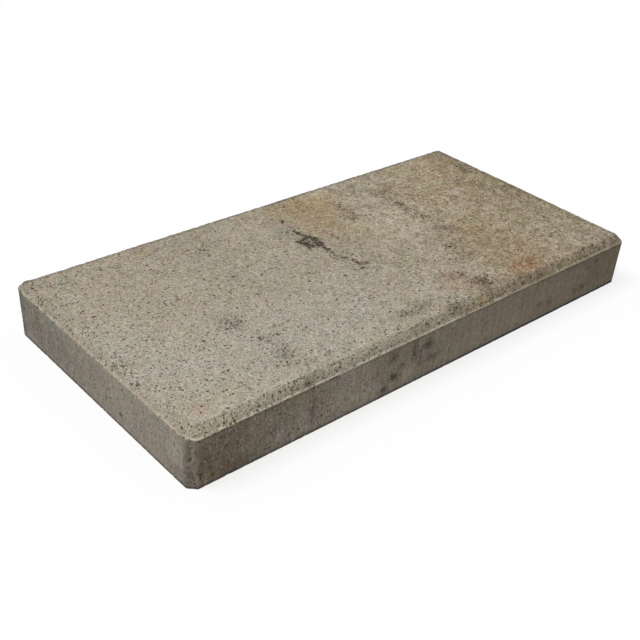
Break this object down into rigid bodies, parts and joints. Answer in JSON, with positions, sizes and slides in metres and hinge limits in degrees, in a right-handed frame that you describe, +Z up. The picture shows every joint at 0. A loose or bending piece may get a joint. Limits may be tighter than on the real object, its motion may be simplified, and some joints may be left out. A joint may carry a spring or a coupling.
{
  "type": "flat concrete wall coping",
  "caption": "Flat rectangular wall coping slab of pressed concrete, with a chamfered top edge above a flat lip and faceted upright corners, bedded on mortar to cap a wall.",
  "frame": {"origin": "middle of the bed face, on the surface that the slab lies on", "axes": "+X along the slab's length, in line with the wall; +Y across the wall; +Z up, from the bed to the top face"},
  "size_m": [0.5, 0.25, 0.05],
  "materials": {
    "pressed_concrete": "sandy pressed face, smoother moulded sides, matt"
  },
  "bodies": {
    "root": {"coping_slab": "pressed_concrete"}
  },
  "joints": []
}
